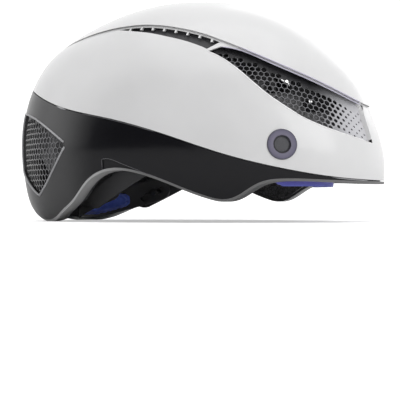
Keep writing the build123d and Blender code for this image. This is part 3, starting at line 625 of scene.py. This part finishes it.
def make_honeycomb(node, shell, outward, pitch, name, shade_strip, fade_end, fade_length, finish):
    """A curved panel of hexagonal cells wherever the shell leaves its CAD node open, and its mirror image."""
    outward = Vector(outward).normalized()
    across = Vector((0, 0, 1)).cross(outward).normalized()
    upward = outward.cross(across)
    outline, points = outer_outline(node, outward)
    flat = [(point.dot(across), point.dot(upward)) for point in points]
    depth = surface_fit(flat, [point.dot(outward) for point in points])
    cover = tree_of(shell)
    wall = pitch * wall_share
    radius = (pitch - wall) / math.sqrt(3)
    margin = (pitch + wall) / math.sqrt(3)

    def lifted(place, drop):
        return across * place[0] + upward * place[1] + outward * (depth(place) - panel_drop - drop)

    def is_open(place):
        start = lifted(place, -clear_height)
        return cover.ray_cast(start, -outward, clear_height + pitch)[0] is None

    # The outline on a plane, pushed forward near its front
    outline = [(point.dot(across), point.dot(upward)) for point in outline]
    foremost = max(place[0] for place in outline)
    outline = [(u + (front_reach if u > foremost - front_end else 0), v) for u, v in outline]

    # Cells wherever the shell is open, each with its size as a share
    low = [min(place[axis] for place in flat) for axis in (0, 1)]
    high = [max(place[axis] for place in flat) for axis in (0, 1)]
    rows = int((high[1] - low[1]) / (pitch * math.sqrt(3) / 2)) + 1
    columns = int((high[0] - low[0]) / pitch) + 1
    cells = []
    for row in range(rows):
        for column in range(columns):
            centre = (low[0] + (column + row % 2 / 2) * pitch, low[1] + row * pitch * math.sqrt(3) / 2)
            corners = hexagon(centre, margin)
            over = (centre[0], centre[1] + radius + shade_strip)
            if all(is_inside(corner, outline) for corner in corners) and is_open(over):
                if any(is_open(corner) for corner in corners):
                    share = (fade_end - lifted(centre, 0).x) / fade_length
                    cells.append((*centre, min(1.0, max(smallest_cell, share))))

    # Outer and inner face, then the cells' bevelled walls and the panel's rim
    places, webs, plain = fill_outline(outline, cells, radius, pitch)
    front = webs + plain
    count = len(places)
    vertices = [lifted(place, 0) for place in places] + [lifted(place, panel_depth) for place in places]
    faces = front + [[index + count for index in reversed(face)] for face in front]
    for *centre, size in cells:
        rings = []
        depths = ((1, 0), (lip_share, lip_drop), (lip_share, panel_depth - lip_drop), (1, panel_depth))
        for share, drop in depths:
            rings.append(len(vertices))
            vertices += [lifted(corner, drop) for corner in hexagon(centre, radius * size * share)]
        for upper, lower in zip(rings, rings[1:]):
            faces += join_rings(upper, lower, 6)
    edge = len(vertices)
    for place in outline:
        vertices += [lifted(place, 0), lifted(place, panel_depth)]
    for step in range(len(outline)):
        here, after = edge + 2 * step, edge + 2 * ((step + 1) % len(outline))
        faces.append((here, here + 1, after + 1, after))

    for side, word in ((1, "right"), (-1, "left")):
        mesh = bpy.data.meshes.new(name + "_" + word)
        turned = faces if side == 1 else [face[::-1] for face in faces]
        mesh.from_pydata([(point.x, point.y * side, point.z) for point in vertices], [], turned)
        mesh.validate()
        piece = add_object(name + "_" + word, mesh, "helmet", "mesh_grey", False, finish)
        # Faces away from the cells take a near-black finish: painted shade, above all in the strip under the
        # spine's lip
        mesh.materials.append(finishes["mesh_shade"])
        for number, face in enumerate(mesh.polygons):
            face.material_index = 0 if number < len(webs) else 1
        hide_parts(node.replace("right", word))


# Edges with painted highlights, and returns of the shells

def sharp_lines(node):
    """Chains of points along the outer sharp edges of a CAD node."""
    grid = welded(node)
    middle = Vector(shell_middle)
    waiting = set()
    for edge in grid.edges:
        if len(edge.link_faces) == 2:
            first, second = (face.normal for face in edge.link_faces)
            away = ((edge.verts[0].co + edge.verts[1].co) / 2 - middle).normalized()
            if first.dot(second) < sharp_cosine and max(first.dot(away), second.dot(away)) > away_cosine:
                waiting.add(edge)
    lines = []
    for start in sorted(waiting, key=lambda edge: edge.index):
        if start not in waiting:
            continue
        waiting.remove(start)
        line = [start.verts[0], start.verts[1]]
        for end in (-1, 0):
            following = [edge for edge in line[end].link_edges if edge in waiting]
            while following:
                waiting.remove(following[0])
                point = following[0].other_vert(line[end])
                line.insert(len(line) if end else 0, point)
                following = [edge for edge in point.link_edges if edge in waiting]
        lines.append([vertex.co.copy() for vertex in line])
    grid.free()
    return lines


def in_box(point, box):
    """Whether a point is in a box, on either side of the helmet."""
    values = (point.x, abs(point.y), point.z)
    return all(low < value < high for value, (low, high) in zip(values, box))


def is_over(point, line):
    """Whether a point is above a line that falls towards the front."""
    height, fall = line
    return point.z > height - fall * point.x


def on_parting(point):
    return point.z > parting_low and is_over(point, parting_line)


def on_rear_vent(point):
    return in_box(point, rear_vent_box) and not on_parting(point)


def on_crease(point):
    return in_box(point, crease_box) and not on_parting(point)


def on_vent_low(point):
    return in_box(point, vent_box) and not is_over(point, vent_line)


def on_vent_top(point):
    return in_box(point, vent_box) and is_over(point, vent_line)


def make_bead(name, lines, wanted, radius, slot, finish):
    """A fine rounded bead along every stretch of the lines that is wanted."""
    vertices, faces = [], []
    for line in lines:
        kept = []
        for point in line + [None]:
            if point is not None and wanted(point):
                if not kept or (point - kept[-1]).length > radius:
                    kept.append(point)
                continue
            if len(kept) > 2:
                start = len(vertices)
                for index, centre in enumerate(kept):
                    along = (kept[min(index + 1, len(kept) - 1)] - kept[max(index - 1, 0)]).normalized()
                    out = along.cross(Vector(bead_slant)).normalized()
                    up = out.cross(along)
                    size = radius * (bead_end if index in (0, len(kept) - 1) else 1)
                    for step in range(bead_sides):
                        turn = 2 * math.pi * step / bead_sides
                        vertices.append(centre + (out * math.cos(turn) + up * math.sin(turn)) * size)
                last = len(vertices) - bead_sides
                faces.append([start + step for step in range(bead_sides)][::-1])
                faces.append([last + step for step in range(bead_sides)])
                for row in range(start, last, bead_sides):
                    faces += join_rings(row, row + bead_sides, bead_sides)
            kept = []
    mesh = bpy.data.meshes.new(name)
    mesh.from_pydata(vertices, [], faces)
    add_object(name, mesh, "helmet", slot, finish=finish)


def make_vent_ends(lines):
    """A white return along each side vent's front edge, from the shell's skin down to the honeycomb."""
    inward = Vector(return_inward) * return_depth
    for side, word in ((-1, "right"), (1, "left")):
        outermost = {}
        for line in lines:
            for point in line:
                if point.y * side > 0 and in_box(point, return_box):
                    level = round(point.z / return_step)
                    if level not in outermost or point.x > outermost[level].x:
                        outermost[level] = point
        vertices, faces = [], []
        for level in sorted(outermost):
            outer = outermost[level]
            inner = outer + inward
            inner.y = side * max(abs(outer.y), return_wall)
            for gap, places in ((return_outer, (outer, inner)), (return_inner, (inner, outer))):
                vertices += [place + Vector((0, side * gap, 0)) for place in places]
        for row in range(0, len(vertices) - 4, 4):
            faces += join_rings(row, row + 4, 4)
        mesh = bpy.data.meshes.new("vent_end_" + word)
        mesh.from_pydata(vertices, [], faces)
        add_object(mesh.name, mesh, "helmet", "shell_white", False)


# Soft pieces

def make_cushion(node, body, slot):
    """A pad: its CAD form with softened edges, swollen towards the head."""
    mesh = nodes[node].data.copy()
    mesh.materials.clear()
    piece = add_object(node + "_cushion", mesh, body, slot)
    remesh = piece.modifiers.new("even mesh", "REMESH")
    remesh.mode = "VOXEL"
    remesh.voxel_size = pad_voxel
    apply_modifiers(piece)
    soften = piece.modifiers.new("soften", "SMOOTH")
    soften.factor = pad_smoothing
    soften.iterations = pad_rounds
    apply_modifiers(piece)
    middle = Vector(head_middle)
    for face in piece.data.polygons:
        face.use_smooth = True
    rest = [vertex.co.copy() for vertex in piece.data.vertices]
    normals = [vertex.normal.copy() for vertex in piece.data.vertices]
    for vertex, place, normal in zip(piece.data.vertices, rest, normals):
        inward = max(0.0, normal.dot((middle - place).normalized()))
        vertex.co = place + normal * pad_swell * inward
    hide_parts(node)


def make_ribbon(name, node, starts, ends, toward):
    """Webbing on the inner face of its CAD node, between two edges that are given as pairs of points."""
    tree = tree_of(node)
    toward = Vector(toward)
    around = strap_columns * 2
    last = strap_columns - 1
    width = (Vector(starts[1]) - Vector(starts[0])).length
    vertices, places = [], []
    travelled = 0.0
    before = None
    for row in range(strap_rows + 1):
        left = Vector(starts[0]).lerp(Vector(ends[0]), row / strap_rows)
        right = Vector(starts[1]).lerp(Vector(ends[1]), row / strap_rows)
        line = []
        for column in range(strap_columns):
            place = left.lerp(right, strap_inset + (1 - 2 * strap_inset) * column / last)
            hit, normal = tree.ray_cast(place, toward)[:2]
            if hit is None:
                hit, normal = line[-1] if line else before[column]
            line.append((hit, normal))
        if before is not None:
            travelled += (line[strap_columns // 2][0] - before[strap_columns // 2][0]).length
        before = line
        for at_side, elsewhere, order in ((side_low, 0.0, 1), (side_high, 1.0, -1)):
            for column in range(strap_columns)[::order]:
                hit, normal = line[column]
                height = at_side if column in (0, last) else elsewhere
                vertices.append(hit - normal * strap_thickness * height)
                places.append((column / last, travelled / width))
    faces = [tuple(range(around))[::-1], tuple(strap_rows * around + step for step in range(around))]
    for row in range(strap_rows):
        faces += join_rings(row * around, (row + 1) * around, around)
    mesh = bpy.data.meshes.new(name)
    mesh.from_pydata(vertices, [], faces)
    set_uv(mesh, "weave", places)
    return mesh


def make_straps():
    """The webbing on both sides: two legs from the anchors to each divider, and the stowed chin straps."""
    half = strap_width / 2
    for side, word in ((-1, "right"), (1, "left")):
        for (forward, level), end, leg in zip(anchor_places, (1, -1), ("front", "rear")):
            top = strap_middle + end * divider_reach
            starts = ((forward - half, 0, level), (forward + half, 0, level))
            ends = ((top - half, 0, divider_low), (top + half, 0, divider_low))
            mesh = make_ribbon(leg + "_webbing_" + word, "side_strap_" + word, starts, ends, (0, side, 0))
            piece = add_object(mesh.name, mesh, "helmet", "webbing")
            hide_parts("side_strap_" + word)
        node = "chin_strap_" + word
        low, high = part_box(node)
        near = low[1] if side == 1 else high[1]
        far = high[1] if side == 1 else low[1]
        starts = ((strap_middle - half, near, strap_base), (strap_middle + half, near, strap_base))
        ends = ((strap_middle - half, far, strap_base), (strap_middle + half, far, strap_base))
        mesh = make_ribbon("chin_webbing_" + word, node, starts, ends, (0, 0, 1))
        piece = add_object(mesh.name, mesh, "helmet" if side == -1 else None, "webbing")
        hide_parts(node)
        if side == 1:
            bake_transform(piece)


def make_lace(word, side):
    """Two round braided cords, one above the other, along the CAD lace."""
    node = "lace_" + word
    low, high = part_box(node)
    tree = tree_of(node)
    middle = Vector((fit_middle, 0, (low[2] + high[2]) / 2))
    centres = []
    for step in range(lace_steps + 1):
        turn = math.radians(90 + 90 * step / lace_steps)
        direction = Vector((math.cos(turn), side * math.sin(turn), 0))
        hit = tree.ray_cast(middle, direction)[0]
        if hit is not None:
            centres.append(hit + direction * lace_radius)
    upright = Vector((0, 0, 1))
    for number, rise in enumerate((-lace_radius, lace_radius)):
        vertices, faces, places = [], [], []
        travelled = 0.0
        for index, centre in enumerate(centres):
            before = centres[max(index - 1, 0)]
            along = (centres[min(index + 1, len(centres) - 1)] - before).normalized()
            out = along.cross(upright)
            travelled += (centre - before).length
            for step in range(cord_sides):
                turn = 2 * math.pi * step / cord_sides
                offset = out * math.cos(turn) + upright * math.sin(turn)
                vertices.append(centre + upright * rise + offset * lace_radius)
                places.append((step / cord_sides, travelled / (4 * lace_radius)))
        for row in range(0, len(vertices) - cord_sides, cord_sides):
            faces += join_rings(row, row + cord_sides, cord_sides)
        mesh = bpy.data.meshes.new(node + "_cord_" + str(number + 1))
        mesh.from_pydata(vertices, [], faces)
        set_uv(mesh, "braid", places)
        piece = add_object(mesh.name, mesh, None, "lace_black")
        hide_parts(node)
        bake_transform(piece)


# The rear vent's cells keep their size, because its fade ends far ahead of it
make_honeycomb("vent_mesh_right", "top_shell", vent_outward, vent_pitch, "vent_honeycomb",
               vent_shade_strip, vent_fade_end, vent_fade_length, finish="mesh_grey")
make_honeycomb("rear_mesh_right", "lower_shell", rear_outward, rear_pitch, "rear_honeycomb",
               shade_strip=0, fade_end=1.0, fade_length=0.5, finish="mesh_rear")
lower_lines = sharp_lines("lower_shell")
top_lines = sharp_lines("top_shell")
# The parting and rear vent beads are rounded edges in a light grey that is a painted highlight
make_bead("parting_bead", lower_lines, on_parting, parting_radius, "trim_grey", "highlight_grey")
make_bead("rear_vent_bead", lower_lines, on_rear_vent, rear_vent_radius, "trim_grey", "highlight_grey")
# The crease bead is lighter than the black shell round it: a painted highlight along the crease
make_bead("crease_bead", lower_lines, on_crease, crease_radius, "shell_black", "highlight_crease")
# The bead along the side vent's lower edge is whiter than the shell: a painted highlight
make_bead("vent_low_bead", top_lines, on_vent_low, vent_low_radius, "shell_white", "highlight_white")
# The lavender bead along the spine's lip at the vent's top is a painted highlight with a lavender tint
make_bead("vent_top_bead", top_lines, on_vent_top, vent_top_radius, "shell_white", "highlight_lavender")
make_vent_ends(top_lines)
for pad, body, slot in cushions:
    make_cushion(pad, body, slot)
make_straps()
make_lace("right", -1)
make_lace("left", 1)


# Stage

def make_floor():
    """A pale floor that shows white to the camera and keeps the helmet's shadow."""
    material, tree, shader = new_material("floor")
    drift = noise(tree, coordinates(tree), scale=3.0)
    color = ramp(tree, drift, [(0.3, (0.90, 0.90, 0.90)), (0.7, (0.92, 0.92, 0.92))])
    link(tree, color, shader.inputs["Base Color"])
    shader.inputs["Roughness"].default_value = 0.9
    shader.inputs["Specular IOR Level"].default_value = 0.1
    shader.inputs["Emission Color"].default_value = (1, 1, 1, 1)
    path = tree.nodes.new("ShaderNodeLightPath")
    lift = spread(tree, path.outputs["Is Camera Ray"], 0.0, floor_lift)
    link(tree, lift, shader.inputs["Emission Strength"])
    mesh = bpy.data.meshes.new("floor")
    signs = ((-1, -1), (1, -1), (1, 1), (-1, 1))
    corners = [(u * floor_reach, v * floor_reach, floor_level) for u, v in signs]
    mesh.from_pydata(corners, [], [(0, 1, 2, 3)])
    mesh.materials.append(material)
    floor = bpy.data.objects.new("floor", mesh)
    bpy.context.scene.collection.objects.link(floor)


def make_world():
    """A soft surround, brighter overhead, and the backdrop that the camera and the reflections see."""
    world = bpy.data.worlds.new("surround")
    world.use_nodes = True
    bpy.context.scene.world = world
    tree = world.node_tree
    tree.nodes.clear()
    output = tree.nodes.new("ShaderNodeOutputWorld")
    path = tree.nodes.new("ShaderNodeLightPath")
    direction = tree.nodes.new("ShaderNodeTexCoord").outputs["Generated"]
    surround = tree.nodes.new("ShaderNodeBackground")
    sky = ramp(tree, component(tree, direction, "Z"), [(0.0, horizon_color), (overhead_from, overhead_color)])
    link(tree, sky, surround.inputs["Color"])
    backdrop = tree.nodes.new("ShaderNodeBackground")
    sideways = component(tree, direction, "Y")
    reflected = spread(tree, sideways, 0.0, backdrop_level, backdrop_dark, backdrop_light)
    level = combined(tree, "MAXIMUM", reflected, path.outputs["Is Camera Ray"])
    link(tree, level, backdrop.inputs["Color"])
    shown = combined(tree, "MAXIMUM", path.outputs["Is Camera Ray"], path.outputs["Is Glossy Ray"])
    mix = tree.nodes.new("ShaderNodeMixShader")
    link(tree, shown, mix.inputs["Fac"])
    link(tree, surround.outputs["Background"], mix.inputs[1])
    link(tree, backdrop.outputs["Background"], mix.inputs[2])
    link(tree, mix.outputs["Shader"], output.inputs["Surface"])


def make_lamp(name, place, size, power):
    """A square soft lamp that faces the helmet."""
    lamp = bpy.data.lights.new(name, "AREA")
    lamp.shape = "SQUARE"
    lamp.size = size
    lamp.energy = power
    item = bpy.data.objects.new(name, lamp)
    item.location = place
    item.rotation_mode = "QUATERNION"
    item.rotation_quaternion = (Vector(lamp_target) - Vector(place)).to_track_quat("-Z", "Y")
    bpy.context.scene.collection.objects.link(item)


def make_camera():
    """The photograph's camera."""
    turn = math.radians(view_turn)
    look = Vector((-math.sin(turn), math.cos(turn), 0))
    data = bpy.data.cameras.new("camera")
    data.sensor_width = sensor_width
    data.lens = view_lens
    camera = bpy.data.objects.new("camera", data)
    camera.location = look * -view_distance + Vector((0, 0, view_height))
    camera.rotation_mode = "QUATERNION"
    camera.rotation_quaternion = look.to_track_quat("-Z", "Y")
    bpy.context.scene.collection.objects.link(camera)
    bpy.context.scene.camera = camera


make_floor()
make_world()
for name, place, size, power in lamps:
    make_lamp(name, place, size, power)
make_camera()
bpy.context.scene.view_settings.view_transform = "Standard"
